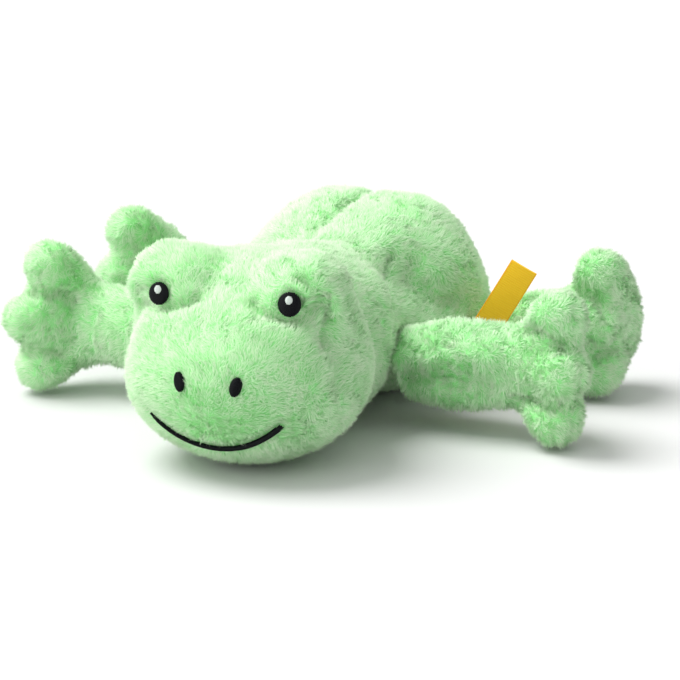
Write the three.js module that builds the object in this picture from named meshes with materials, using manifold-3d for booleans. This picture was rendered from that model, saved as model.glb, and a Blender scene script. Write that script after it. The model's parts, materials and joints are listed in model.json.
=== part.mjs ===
// A plush frog that lies on its belly, with three-toed hands and feet spread out at its sides.
// Millimetres, +Z up. The nose points to -Y and the frog's own left side is +X.
// The origin is on the table, under the middle of the whole frog.
// It is sewn from panels of short-pile plush over polyester filling, with embroidered eyes,
// nostrils and mouth, and a folded ribbon label caught in the seam of its left flank.

import * as THREE from "three";
import { mergeVertices } from "three/addons/utils/BufferGeometryUtils.js";
import Module from "manifold-3d";

const wasm = await Module();
wasm.setup();
const degrees = THREE.MathUtils.degToRad;

// Sewing: a cover is the knit backing with its laid pile, as thick on every panel.
const coverThick = 4.5;
const seat = 0.3; // between a piece and what it lies on
const jointGap = 0.6; // round a limb's root and round the neck, so that they can turn
const settle = 0.5; // how deep the frog's weight presses each form flat on the table
const weld = 0.001; // vertices closer than this are one
const beyond = 400; // how far a cutting block reaches past what it cuts
const closeEnough = 0.0001; // how near a skin point is to the true surface

// Torso: a neck ball in front, shoulders, and a rump of two lobes with the back seam between them.
const neckRound = 76;
const neckAhead = 50;
const neckHigh = 37;
const neckHoleRound = 44; // where the torso's cover is open into the head
const shoulderWide = 82;
const shoulderLong = 78;
const shoulderTop = 73;
const shoulderWaist = 36; // height of its widest level
const shoulderAhead = 32;
const rumpWide = 121;
const rumpLong = 100;
const rumpTop = 79;
const rumpWaist = 38;
const rumpBehind = 25;
const lobeRound = 58;
const lobeTop = 84;
const lobeApart = 32;
const lobeBehind = 39;
const torsoBlend = 12; // how softly the torso's masses run into each other

// Head: a wide muzzle, a crown behind it and a brow lobe over each eye.
const muzzleWide = 105;
const muzzleLong = 96;
const muzzleTop = 75;
const muzzleWaist = 38;
const muzzleAhead = 95;
const crownWide = 84;
const crownLong = 70;
const crownTop = 86;
const crownWaist = 58;
const crownAhead = 88;
const browRound = 38;
const browTop = 91;
const browApart = 57;
const browAhead = 104;
const headBlend = 12;

// Face: satin stitch that presses the pile down, so each patch lies in a recess of the cover.
const stitchThick = 1.6;
const stitchSink = 0.6; // from the top of the pile down to the top of the stitches
const eyeRound = 10.5;
const eyeApart = 54;
const eyeUnderBrow = 19.5;
const eyeTilt = 25; // degrees that the eye looks up
const glintRound = 3.4;
const glintThick = 0.6;
const glintRise = 1.4; // above the middle of the eye
const nostrilWide = 4.6;
const nostrilHigh = 7.8;
const nostrilApart = 23;
const nostrilLevel = 42;
const nostrilLean = -12; // degrees that its top leans outwards
const mouthWide = 58;
const mouthCornerLevel = 28;
const mouthMiddleLevel = 14;
const mouthLine = 2.4;
const patchSides = 16; // faces round a stitched patch

// Limbs, which share one pattern: a round root, a thick sleeve, a wrist and a palm with three toes.
const toeRound = 26.5;
const toeBaseRound = 23;
const palmDeep = 29;
const palmHigh = 54;
const palmLong = 28;
const limbBlend = 6;
const rootHoleRound = 20; // where the sleeve is open towards the torso
const arm = {
  rootRound: 41,
  out: 54,
  ahead: 22,
  high: 26,
  reach: 49, // from the middle of the root to the middle of the palm
  palmAhead: 2, // from the middle of the root
  palmLevel: 31,
  sleeveDeep: 35,
  sleeveHigh: 41,
  wristDeep: 31,
  wristHigh: 36,
  topToeLevel: 55.5,
  midToeLevel: 33.5,
  topToeReach: 17,
  midToeReach: 24,
  lowToeReach: 15,
};
const leg = {
  rootRound: 39,
  out: 72,
  ahead: -36,
  high: 26,
  reach: 31,
  palmAhead: -26,
  palmLevel: 31,
  sleeveDeep: 34,
  sleeveHigh: 37,
  wristDeep: 30,
  wristHigh: 34,
  topToeLevel: 54,
  midToeLevel: 33,
  topToeReach: 18,
  midToeReach: 24,
  lowToeReach: 21,
};
const sleeveShare = 0.35; // where along the reach the sleeve's swell and the wrist lie
const wristShare = 0.72;
const toeMiddleShare = 0.5;

const handTurn = 57; // degrees that the toes turn from straight out towards straight ahead
const footTurn = 90;

// As it is posed, the right hand and foot reach further out than the left, and the foot is turned out.
const rightArmReach = 56;
const rightTopToeReach = 13;
const rightLowToeReach = 18;
const rightLegReach = 37;
const rightFootTurn = 58;
const headTurn = 3; // degrees that the face is turned to the frog's left
const nodRange = 15; // degrees that the head nods up and down
const nodSteps = [-nodRange, 0, nodRange];

// Label: one length of woven ribbon folded in two, with its ends in the seam and its fold outside.
const labelWide = 12.5;
const labelLong = 42;
const ribbonThick = 0.5;
const foldSteps = 4; // faces round each side of the fold
const labelOut = 58; // the middle of its foot
const labelBehind = 9.5;
const labelHigh = 24;
const labelLean = 31; // degrees from upright, outwards
const labelTurn = 23; // degrees that its face is turned from straight ahead

// How finely a form's outside and its inside are divided, as sides round it and rings along it.
const bodyMesh = { sides: 28, rings: 18 };
const sleeveMesh = { sides: 14, rings: 10 };
const toeMesh = { sides: 10, rings: 7 };
const seatMesh = { sides: 16, rings: 10 };
const bodyLiningShare = 0.75; // of the outside's sides and rings
const limbLiningShare = 0.6;

const plushColour = 0xb4e8ac;
const threadColour = 0x0b0f14;
const glintColour = 0xc9d3cc;
const labelColour = 0xf2cd22;
const fillingColour = 0xf4f2ec;

// A closed three.js geometry as a solid that can be joined and cut.
function solidOf(geometry) {
  const bare = geometry.clone();
  bare.deleteAttribute("normal");
  bare.deleteAttribute("uv");
  const merged = mergeVertices(bare, weld);
  return new wasm.Manifold(
    new wasm.Mesh({
      numProp: 3,
      vertProperties: new Float32Array(merged.attributes.position.array),
      triVerts: new Uint32Array(merged.index.array),
    }),
  );
}

function geometryOf(solid) {
  const mesh = solid.getMesh();
  const geometry = new THREE.BufferGeometry();
  geometry.setAttribute("position", new THREE.BufferAttribute(mesh.vertProperties, mesh.numProp));
  geometry.setIndex(new THREE.BufferAttribute(mesh.triVerts, 1));
  return geometry;
}

// An egg-shaped mass of filling: its middle, its half sizes, and a lower half of its own depth.
function mass(x, y, waist, wide, long, top, bottom = -settle) {
  const at = new THREE.Vector3(x, y, waist);
  return { at, wide: wide / 2, long: long / 2, up: top - waist, down: waist - bottom };
}

function ball(x, y, z, round) {
  const radius = round / 2;
  return { at: new THREE.Vector3(x, y, z), wide: radius, long: radius, up: radius, down: radius };
}

// How far a point is outside a mass, or inside it as a negative number.
function distanceTo(point, { at, wide, long, up, down }) {
  const high = point.z > at.z ? up : down;
  const x = (point.x - at.x) / wide;
  const y = (point.y - at.y) / long;
  const z = (point.z - at.z) / high;
  const scaled = Math.hypot(x, y, z);
  const slope = Math.hypot(x / wide, y / long, z / high);
  return slope > 0 ? (scaled * (scaled - 1)) / slope : -Math.min(wide, long, high);
}

// The same for several masses under one skin, which rounds the valleys between them.
function distanceToAll(point, masses, blend) {
  return masses.reduce((nearest, one) => {
    const here = distanceTo(point, one);
    const overlap = Math.max(blend - Math.abs(nearest - here), 0) / blend;
    return Math.min(nearest, here) - (overlap * overlap * blend) / 4;
  }, beyond);
}

// The skin of some masses, laid over them along rays from a middle point. Rings follow the axis.
// An inset of more than zero gives the skin that lies that much deeper.
function skin(masses, { blend, middle, axis, sides, rings }, inset) {
  const toAxis = new THREE.Quaternion().setFromUnitVectors(new THREE.Vector3(0, 1, 0), axis);
  const geometry = new THREE.SphereGeometry(1, sides, rings);
  const position = geometry.attributes.position;
  for (let index = 0; index < position.count; index += 1) {
    const ray = new THREE.Vector3().fromBufferAttribute(position, index).applyQuaternion(toAxis).normalize();
    const point = new THREE.Vector3();
    let inside = 0;
    let outside = beyond;
    while (outside - inside > closeEnough) {
      const reach = (inside + outside) / 2;
      point.copy(middle).addScaledVector(ray, reach);
      if (distanceToAll(point, masses, blend) + inset < 0) inside = reach;
      else outside = reach;
    }
    position.setXYZ(index, point.x, point.y, point.z);
  }
  return solidOf(geometry);
}

// A straight bar of some outline, standing at a point and facing along a direction.
function prism(outline, depth, at, facing) {
  const settings = { depth, bevelEnabled: false, curveSegments: patchSides / 2 };
  const bar = new THREE.ExtrudeGeometry(outline, settings);
  bar.applyQuaternion(new THREE.Quaternion().setFromUnitVectors(new THREE.Vector3(0, 0, 1), facing));
  bar.translate(at.x, at.y, at.z);
  return solidOf(bar);
}

function oval(wide, high, lean = 0) {
  return new THREE.Shape().absellipse(0, 0, wide / 2, high / 2, 0, 2 * Math.PI, false, lean);
}

const tableTop = solidOf(new THREE.BoxGeometry(beyond, beyond, beyond).translate(0, 0, -beyond / 2));
const coarser = ({ sides, rings }, share) => ({
  sides: Math.round(sides * share),
  rings: Math.round(rings * share),
});

// The outside, the lining and the filling of one stuffed form, all cut off at the table.
// The form is a function of the mesh and the inset, so that all three are the same shape.
function stuffed(form) {
  return {
    outside: form(false, 0).subtract(tableTop),
    hollow: form(true, coverThick),
    filling: form(true, coverThick + seat),
  };
}

// Torso.
const neckMiddle = new THREE.Vector3(0, -neckAhead, neckHigh);
const torsoMasses = [
  ball(neckMiddle.x, neckMiddle.y, neckMiddle.z, neckRound),
  mass(0, -shoulderAhead, shoulderWaist, shoulderWide, shoulderLong, shoulderTop),
  mass(0, rumpBehind, rumpWaist, rumpWide, rumpLong, rumpTop),
  ball(lobeApart / 2, lobeBehind, lobeTop - lobeRound / 2, lobeRound),
  ball(-lobeApart / 2, lobeBehind, lobeTop - lobeRound / 2, lobeRound),
];
const torsoSkin = {
  blend: torsoBlend,
  middle: new THREE.Vector3(0, -(shoulderAhead - rumpBehind) / 2, rumpWaist),
  axis: new THREE.Vector3(0, 1, 0),
};
const torsoForm = (mesh, inset) => skin(torsoMasses, { ...torsoSkin, ...mesh }, inset);
const torso = stuffed((lined, inset) =>
  torsoForm(lined ? coarser(bodyMesh, bodyLiningShare) : bodyMesh, inset),
);

// Head.
const headMasses = [
  mass(0, -muzzleAhead, muzzleWaist, muzzleWide, muzzleLong, muzzleTop),
  mass(0, -crownAhead, crownWaist, crownWide, crownLong, crownTop, crownWaist - crownLong / 2),
  ball(browApart / 2, -browAhead, browTop - browRound / 2, browRound),
  ball(-browApart / 2, -browAhead, browTop - browRound / 2, browRound),
];
const headSkin = {
  blend: headBlend,
  middle: new THREE.Vector3(0, -muzzleAhead, (muzzleWaist + crownWaist) / 2),
  axis: new THREE.Vector3(0, 1, 0),
};
const headForm = (mesh, inset) => skin(headMasses, { ...headSkin, ...mesh }, inset);
const headLining = coarser(bodyMesh, bodyLiningShare);
const head = stuffed((lined, inset) => headForm(lined ? headLining : bodyMesh, inset));

// The lowest toe's flat facets, not its corners, are what the table cuts.
const lowToeLevel = (toeRound / 2) * Math.cos(Math.PI / toeMesh.sides) - settle;

// One limb on the frog's left, in place.
function limbParts(limb, toeTurn) {
  const root = new THREE.Vector3(limb.out, -limb.ahead, limb.high);
  const palm = new THREE.Vector3(limb.out + limb.reach, -limb.ahead - limb.palmAhead, limb.palmLevel);
  const along = (share) => new THREE.Vector3().lerpVectors(root, palm, share);
  const swell = along(sleeveShare);
  const wrist = along(wristShare);
  const axis = new THREE.Vector3().subVectors(palm, root).normalize();
  const masses = [
    ball(root.x, root.y, root.z, limb.rootRound),
    mass(swell.x, swell.y, swell.z, limb.reach, limb.sleeveDeep, swell.z + limb.sleeveHigh / 2,
      swell.z - limb.sleeveHigh / 2),
    mass(wrist.x, wrist.y, wrist.z, limb.reach, limb.wristDeep, wrist.z + limb.wristHigh / 2,
      wrist.z - limb.wristHigh / 2),
    mass(palm.x, palm.y, palm.z, palmDeep, palmLong, palm.z + palmHigh / 2, palm.z - palmHigh / 2),
  ];
  const turn = degrees(toeTurn);
  const ahead = new THREE.Vector3(Math.cos(turn), -Math.sin(turn), 0);
  const toes = [
    [limb.topToeLevel, limb.topToeReach],
    [limb.midToeLevel, limb.midToeReach],
    [lowToeLevel, limb.lowToeReach],
  ].map(([level, reach]) => {
    const tip = palm.clone().setZ(level).addScaledVector(ahead, reach);
    const base = palm.clone().setZ((level + palm.z) / 2);
    const middle = base.clone().lerp(tip, toeMiddleShare);
    const middleRound = (toeRound + toeBaseRound) / 2;
    return {
      masses: [
        ball(base.x, base.y, base.z, toeBaseRound),
        ball(middle.x, middle.y, middle.z, middleRound),
        ball(tip.x, tip.y, tip.z, toeRound),
      ],
      middle,
      axis: tip.clone().sub(base).normalize(),
    };
  });
  const form = (lined, inset) => {
    const sleeve = lined ? coarser(sleeveMesh, limbLiningShare) : sleeveMesh;
    const toe = lined ? coarser(toeMesh, limbLiningShare) : toeMesh;
    const middle = along(wristShare);
    return toes.reduce(
      (whole, one) =>
        whole.add(skin(one.masses, { blend: limbBlend, middle: one.middle, axis: one.axis, ...toe }, inset)),
      skin(masses, { blend: limbBlend, middle, axis, ...sleeve }, inset),
    );
  };
  const mouthHole = prism(oval(rootHoleRound, rootHoleRound), limb.rootRound, root, axis.clone().negate());
  return { ...stuffed(form), root, mouthHole };
}

const rightArm = {
  ...arm,
  reach: rightArmReach,
  topToeReach: rightTopToeReach,
  lowToeReach: rightLowToeReach,
};
const rightLeg = { ...leg, reach: rightLegReach };
const limbs = {
  arm_left: limbParts(arm, handTurn),
  leg_left: limbParts(leg, footTurn),
  arm_right: limbParts(rightArm, handTurn),
  leg_right: limbParts(rightLeg, rightFootTurn),
};

// A left solid as the right one.
function mirrored(solid) {
  const geometry = geometryOf(solid).scale(-1, 1, 1);
  geometry.index.array.reverse();
  return solidOf(geometry);
}

// Where the limbs' round roots sit, and the neck ball that the head's back sits over.
function rootSeat(limb, grow) {
  const seatBall = new THREE.SphereGeometry(limb.rootRound / 2 + grow, seatMesh.sides, seatMesh.rings);
  return solidOf(seatBall.translate(limb.out, -limb.ahead, limb.high));
}
function allSeats(grow) {
  const left = rootSeat(arm, grow).add(rootSeat(leg, grow));
  return left.add(mirrored(left));
}
const rootSeats = allSeats(jointGap);
const liningSeats = allSeats(jointGap + coverThick);
const fillingSeats = allSeats(jointGap + coverThick + seat);
// The head's back is hollowed by the torso's front, as the head meets it at each step of its nod.
const neckRoom = torsoForm(bodyMesh, -jointGap);
function torsoMetAt(nod) {
  const front = geometryOf(neckRoom).translate(-neckMiddle.x, -neckMiddle.y, -neckMiddle.z);
  front.rotateZ(degrees(-headTurn)).rotateX(degrees(-nod));
  return solidOf(front.translate(neckMiddle.x, neckMiddle.y, neckMiddle.z));
}
const neckCup = nodSteps.map(torsoMetAt).reduce((cup, next) => cup.add(next));
const neckBall = new THREE.SphereGeometry(neckRound / 2 + coverThick, seatMesh.sides, seatMesh.rings);
const neckHollow = solidOf(neckBall.translate(neckMiddle.x, neckMiddle.y, neckMiddle.z));

// A stitched patch: a bar through the face, kept between two depths under the top of the pile.
// Its recess in the cover is a little wider and deeper than the patch.
const forward = new THREE.Vector3(0, -1, 0);
const straight = headForm(bodyMesh, stitchSink);
const under = headForm(bodyMesh, stitchSink + stitchThick);
const recessFloor = headForm(bodyMesh, stitchSink + stitchThick + seat);
const stitched = (bar) => bar.intersect(straight).subtract(under);
const recess = (bar) => bar.subtract(recessFloor);

// Each eye's middle lies on the brow, and its bar stands square to the way that the eye looks.
const tilt = degrees(eyeTilt);
const eyeLook = new THREE.Vector3(0, -Math.cos(tilt), Math.sin(tilt));
const browMiddle = new THREE.Vector3(browApart / 2, -browAhead, browTop - browRound / 2);
const eyeRoot = browMiddle.clone().setX(eyeApart / 2);
eyeRoot.z = browTop - eyeUnderBrow - (eyeLook.z * browRound) / 2;
const eyeBar = (round) => prism(oval(round, round), browRound, eyeRoot, eyeLook);
const glintRoot = eyeRoot.clone().add(new THREE.Vector3(0, 0, glintRise));
const glintBar = (round) => prism(oval(round, round), browRound, glintRoot, eyeLook);

// Each nostril is an upright oval that leans out at its top.
const nostrilRoot = new THREE.Vector3(nostrilApart / 2, -muzzleAhead, nostrilLevel);
const leanAngle = degrees(nostrilLean);
const nostrilBar = (grow) =>
  prism(oval(nostrilWide + grow, nostrilHigh + grow, leanAngle), muzzleLong, nostrilRoot, forward);

// The mouth is one arc of thread from corner to corner.
function mouthBar(grow) {
  const drop = mouthCornerLevel - mouthMiddleLevel;
  const half = mouthWide / 2 + grow;
  const bend = (half * half + drop * drop) / (2 * drop);
  const reach = Math.asin(half / bend);
  const outline = new THREE.Shape();
  outline.absarc(0, bend, bend + mouthLine / 2 + grow, -Math.PI / 2 - reach, -Math.PI / 2 + reach, false);
  outline.absarc(0, bend, bend - mouthLine / 2 - grow, -Math.PI / 2 + reach, -Math.PI / 2 - reach, true);
  return prism(outline, muzzleLong, new THREE.Vector3(0, -muzzleAhead, mouthMiddleLevel), forward);
}

const leftPatches = { eye: eyeBar(eyeRound), nostril: nostrilBar(0) };
const clearance = 2 * seat;
const leftRecesses = recess(eyeBar(eyeRound + clearance)).add(recess(nostrilBar(clearance)));
const faceRecesses = leftRecesses.add(mirrored(leftRecesses)).add(recess(mouthBar(seat)));
const glintWellFloor = headForm(bodyMesh, stitchSink + glintThick + seat);
const glintWell = glintBar(glintRound + clearance).subtract(glintWellFloor);
const eye = stitched(leftPatches.eye).subtract(glintWell);
const glint = glintBar(glintRound).intersect(straight).subtract(headForm(bodyMesh, stitchSink + glintThick));
const nostril = stitched(leftPatches.nostril);

// The label is a flat loop of ribbon. Its two ends are caught in a slot of the flank seam.
function ribbonLoop(grow) {
  const outer = ribbonThick + seat / 2 + grow;
  const inner = seat / 2;
  const outline = new THREE.Shape();
  outline.absarc(0, labelLong, outer, 0, Math.PI, false);
  outline.lineTo(-outer, -grow);
  if (grow > 0) {
    outline.lineTo(outer, -grow);
  } else {
    outline.lineTo(-inner, 0);
    outline.absarc(0, labelLong, inner, Math.PI, 0, true);
    outline.lineTo(inner, 0);
    outline.lineTo(outer, 0);
  }
  const depth = labelWide + 2 * grow;
  const loop = new THREE.ExtrudeGeometry(outline, { depth, bevelEnabled: false, curveSegments: foldSteps });
  loop.translate(0, 0, -depth / 2);
  loop.rotateX(Math.PI / 2);
  loop.rotateZ(Math.PI / 2);
  loop.rotateY(degrees(labelLean));
  loop.rotateZ(degrees(labelTurn));
  loop.translate(labelOut, labelBehind, labelHigh);
  return solidOf(loop);
}

function colour(value, roughness = 1) {
  return new THREE.MeshStandardMaterial({ color: value, roughness, metalness: 0 });
}

const frog = new THREE.Group();
const headPieces = new THREE.Group();
frog.add(headPieces);

function addPiece(group, name, solid, value, roughness) {
  const piece = new THREE.Mesh(geometryOf(solid), colour(value, roughness));
  piece.name = name;
  group.add(piece);
}

// The torso's cover is open where its filling meets the head's, and dimpled under each limb.
const neckHole = prism(oval(neckHoleRound, neckHoleRound), neckRound, neckMiddle, forward);
const torsoBody = torso.outside.subtract(rootSeats);
const torsoShell = torsoBody.subtract(torso.hollow.subtract(liningSeats)).subtract(neckHole);
addPiece(frog, "torso_cover", torsoShell.subtract(ribbonLoop(seat)), plushColour);
const torsoFilling = torso.filling.subtract(fillingSeats).subtract(ribbonLoop(seat));
addPiece(frog, "torso_filling", torsoFilling, fillingColour);
addPiece(frog, "flank_label", ribbonLoop(0), labelColour, 0.6);

// Each limb's cover is open at the root, where its filling meets the torso.
for (const [name, { outside, hollow, filling, mouthHole }] of Object.entries(limbs)) {
  const place = name.endsWith("right") ? mirrored : (solid) => solid;
  addPiece(frog, `${name}_cover`, place(outside.subtract(hollow).subtract(mouthHole)), plushColour);
  addPiece(frog, `${name}_filling`, place(filling), fillingColour);
}

// The head's cover is open where it sits over the neck ball.
const headShell = head.outside.subtract(neckCup).subtract(head.hollow).subtract(faceRecesses);
addPiece(headPieces, "head_cover", headShell, plushColour);
addPiece(headPieces, "head_filling", head.filling.subtract(neckHollow), fillingColour);
addPiece(headPieces, "mouth", stitched(mouthBar(0)), threadColour, 0.4);
for (const [name, solid, value] of [
  ["eye", eye, threadColour],
  ["eye_glint", glint, glintColour],
  ["nostril", nostril, threadColour],
]) {
  addPiece(headPieces, `${name}_left`, solid, value, 0.4);
  addPiece(headPieces, `${name}_right`, mirrored(solid), value, 0.4);
}

// The head is turned about the middle of the neck, and the whole frog is centred over the origin.
headPieces.position.copy(neckMiddle);
headPieces.rotation.z = degrees(headTurn);
for (const piece of headPieces.children) piece.position.copy(neckMiddle).negate();
frog.updateMatrixWorld(true);
const whole = new THREE.Box3().setFromObject(frog, true);
frog.position.set(-(whole.min.x + whole.max.x) / 2, -(whole.min.y + whole.max.y) / 2, 0);

export default frog;
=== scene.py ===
import json
import math

import bmesh
import bpy
import numpy as np
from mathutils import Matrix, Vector
from mathutils.bvhtree import BVHTree

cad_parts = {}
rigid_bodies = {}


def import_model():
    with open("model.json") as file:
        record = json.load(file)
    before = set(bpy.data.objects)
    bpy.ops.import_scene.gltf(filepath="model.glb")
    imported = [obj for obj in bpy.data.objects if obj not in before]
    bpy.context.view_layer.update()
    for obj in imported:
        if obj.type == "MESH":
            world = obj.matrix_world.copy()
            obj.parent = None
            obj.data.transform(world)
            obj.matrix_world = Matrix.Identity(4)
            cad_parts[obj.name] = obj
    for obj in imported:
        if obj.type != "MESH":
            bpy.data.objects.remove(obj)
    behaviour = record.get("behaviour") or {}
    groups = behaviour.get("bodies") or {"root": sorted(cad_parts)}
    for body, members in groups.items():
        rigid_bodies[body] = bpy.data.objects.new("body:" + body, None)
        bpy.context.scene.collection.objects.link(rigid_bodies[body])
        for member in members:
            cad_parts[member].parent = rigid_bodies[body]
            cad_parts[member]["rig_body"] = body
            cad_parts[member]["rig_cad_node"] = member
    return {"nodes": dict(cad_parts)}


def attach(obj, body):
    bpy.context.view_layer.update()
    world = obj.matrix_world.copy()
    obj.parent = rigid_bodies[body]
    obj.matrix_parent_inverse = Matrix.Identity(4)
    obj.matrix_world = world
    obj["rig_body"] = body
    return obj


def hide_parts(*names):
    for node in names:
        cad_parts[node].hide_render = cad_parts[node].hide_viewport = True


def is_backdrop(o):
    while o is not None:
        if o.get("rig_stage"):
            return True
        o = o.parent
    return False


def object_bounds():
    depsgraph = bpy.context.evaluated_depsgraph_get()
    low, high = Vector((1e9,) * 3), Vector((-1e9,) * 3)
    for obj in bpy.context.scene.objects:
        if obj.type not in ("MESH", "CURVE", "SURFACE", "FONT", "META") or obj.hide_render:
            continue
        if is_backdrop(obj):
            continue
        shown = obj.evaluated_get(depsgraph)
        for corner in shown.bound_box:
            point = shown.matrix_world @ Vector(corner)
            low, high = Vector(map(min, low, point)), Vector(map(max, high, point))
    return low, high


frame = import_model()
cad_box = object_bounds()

MM = 0.001
scene = bpy.context.scene

# The camera: a long lens, a little above the frog and towards its left side, as the frog was
# photographed. It is aimed so that the chest stands where it does in the photograph's frame.
CAMERA_TURN = math.radians(23)
CAMERA_RISE = math.radians(16)
CAMERA_AWAY = 1.3
PIXELS = 680
PIXELS_PER_METRE = 2400
CHEST = Vector((0.0035, -0.0024, 0))
CHEST_RIGHT_OF_LEFT_EDGE = 302
CHEST_BELOW_TOP_EDGE = 419.5

back = Vector(
    (
        math.sin(CAMERA_TURN) * math.cos(CAMERA_RISE),
        -math.cos(CAMERA_TURN) * math.cos(CAMERA_RISE),
        math.sin(CAMERA_RISE),
    )
)
right = Vector((math.cos(CAMERA_TURN), math.sin(CAMERA_TURN), 0))
up = back.cross(right)
aim = (
    -back * PIXELS_PER_METRE * CAMERA_AWAY
    + right * (PIXELS / 2 - CHEST_RIGHT_OF_LEFT_EDGE)
    - up * (PIXELS / 2 - CHEST_BELOW_TOP_EDGE)
)
bpy.ops.object.camera_add(location=CHEST + back * CAMERA_AWAY)
camera = bpy.context.object
camera.rotation_euler = aim.to_track_quat("-Z", "Y").to_euler()
camera.data.sensor_width = 36
camera.data.lens = PIXELS_PER_METRE * CAMERA_AWAY * camera.data.sensor_width / PIXELS
camera.data.clip_end = 20
scene.camera = camera


# Stitches. The eyes, nostrils and mouth are satin stitch in lustrous polyester thread, laid side by
# side over a padded ground. Each patch takes its place, size and tilt from its CAD solid, and a pad
# and threads stand in for it.
THREAD_APART = 0.4 * MM  # real threads are half as thick, too fine to show
THREAD_RADIUS = 0.55 * THREAD_APART  # the threads press into each other
THREAD_DIVE = 0.8 * MM  # how far a thread's ends go down into the cover
PAD_SHARE = 0.96  # of the patch's width and length
PAD_RINGS = ((1, -1.6), (1, -0.2), (0.75, 0.45), (0.4, 0.85))  # shares of its reach and its rise
HEAD_CENTRE = np.array((0.0035, -0.06, 0.04))
NOISE_LOW, NOISE_HIGH = 0.3, 0.7  # the part of a noise's range that most of it fills
PAINTED_SHADE_SHARE = 0.65  # how much of the colour's change is painted shade by height, where it has one
LEAST_DYE, MOST_DYE = 0.15, 0.38  # what the noise adds to that


def points_of(piece):
    places = np.empty(len(piece.data.vertices) * 3)
    piece.data.vertices.foreach_get("co", places)
    return places.reshape(-1, 3)


def select_only(piece):
    bpy.ops.object.select_all(action="DESELECT")
    piece.select_set(True)
    bpy.context.view_layer.objects.active = piece


def linear(code):
    """An sRGB hex colour as the linear red, green, blue and alpha that a socket takes."""
    parts = [int(code[i : i + 2], 16) / 255 for i in (0, 2, 4)]
    return [p / 12.92 if p <= 0.04045 else ((p + 0.055) / 1.055) ** 2.4 for p in parts] + [1]


def add_node(owner, kind, links=(), **values):
    """Adds a node, sets its properties and sockets, and links (socket, node, output) into it."""
    tree = owner.node_tree
    node = tree.nodes.new(kind)
    for name, value in values.items():
        if name in node.inputs:
            node.inputs[name].default_value = value
        else:
            setattr(node, name, value)
    for socket, source, output in links:
        tree.links.new(source.outputs[output], node.inputs[socket])
    return node


def new_finish(name, **sockets):
    finish = bpy.data.materials.new(name)
    finish.use_nodes = True
    shader = finish.node_tree.nodes["Principled BSDF"]
    for socket, value in sockets.items():
        shader.inputs[socket.replace("_", " ")].default_value = value
    return finish, shader


def dye_and_painted_shade(finish, shader, dark, light, wavelength, detail, height=None):
    """Colours a finish between two hex colours by a noise of some wavelength and, where the name of
    a height attribute is given, mostly by that height: the dark colour low down is painted shade."""
    place = add_node(finish, "ShaderNodeTexCoord")
    dye = add_node(
        finish,
        "ShaderNodeTexNoise",
        links=[("Vector", place, "Object")],
        Scale=1 / wavelength,
        Detail=detail,
        Roughness=0.7,
    )
    spread = add_node(finish, "ShaderNodeMapRange", links=[("Value", dye, "Fac")])
    spread.inputs["From Min"].default_value = NOISE_LOW
    spread.inputs["From Max"].default_value = NOISE_HIGH
    amount, output = spread, "Result"
    if height:
        spread.inputs["To Min"].default_value = LEAST_DYE
        spread.inputs["To Max"].default_value = MOST_DYE
        reach = add_node(finish, "ShaderNodeAttribute", attribute_name=height)
        amount = add_node(
            finish,
            "ShaderNodeMath",
            links=[(0, reach, "Fac"), (2, spread, "Result")],
            operation="MULTIPLY_ADD",
            use_clamp=True,
        )
        amount.inputs[1].default_value = PAINTED_SHADE_SHARE
        output = "Value"
    shade = add_node(finish, "ShaderNodeMix", links=[("Factor", amount, output)], data_type="RGBA")
    colours = [socket for socket in shade.inputs if socket.type == "RGBA"]
    colours[0].default_value = linear(dark)
    colours[1].default_value = linear(light)
    mixed = next(socket for socket in shade.outputs if socket.type == "RGBA")
    finish.node_tree.links.new(mixed, shader.inputs["Base Color"])


def unit(vectors):
    return vectors / np.maximum(np.linalg.norm(vectors, axis=1, keepdims=True), 1e-12)


def ground_of(node):
    """The middle of a stitched patch's face, and its long, short and outward directions."""
    places = np.unique(np.round(points_of(frame["nodes"][node]), 6), axis=0)
    middle = (places.min(axis=0) + places.max(axis=0)) / 2
    spread = np.linalg.svd(places - places.mean(axis=0), full_matrices=False)[2]
    outward = spread[2] * np.sign(spread[2] @ (middle - HEAD_CENTRE))
    return places, middle, spread[0], spread[1], outward


def tube(strand, radius, ring=6):
    """The points and faces of a closed tube along a strand. It has one radius, or one for each of
    the strand's points."""
    strand = np.array(strand)
    run = unit(np.gradient(strand, axis=0))
    side = unit(np.cross(run, np.roll(run, 1, axis=1) + [0, 0, 1.7]))
    lift = np.cross(side, run)
    turns = np.arange(ring) * 2 * math.pi / ring
    turns = turns[None, :, None]
    circle = np.cos(turns) * side[:, None] + np.sin(turns) * lift[:, None]
    points = (strand[:, None] + np.reshape(radius, (-1, 1, 1)) * circle).reshape(-1, 3)
    faces = [tuple(reversed(range(ring))), tuple(len(points) - ring + j for j in range(ring))]
    for i in range(len(strand) - 1):
        for j in range(ring):
            a, b = i * ring + j, i * ring + (j + 1) % ring
            faces.append((a, b, b + ring, a + ring))
    return points, faces


def padding(middle, long, short, outward, thick):
    """The points and faces of an oval pad with a domed face, under a patch of stitches."""
    points, faces, ring = [], [], 20
    for share, high in PAD_RINGS:
        for turn in np.arange(ring) * 2 * math.pi / ring:
            reach = share * (math.cos(turn) * long + math.sin(turn) * short)
            points.append(middle + reach + high * thick * outward)
    for i in range(len(PAD_RINGS) - 1):
        for j in range(ring):
            a, b = i * ring + j, i * ring + (j + 1) % ring
            faces.append((a, b, b + ring, a + ring))
    faces.append(tuple(reversed(range(ring))))
    faces.append(tuple(len(points) - ring + j for j in range(ring)))
    return np.array(points), faces


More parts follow.
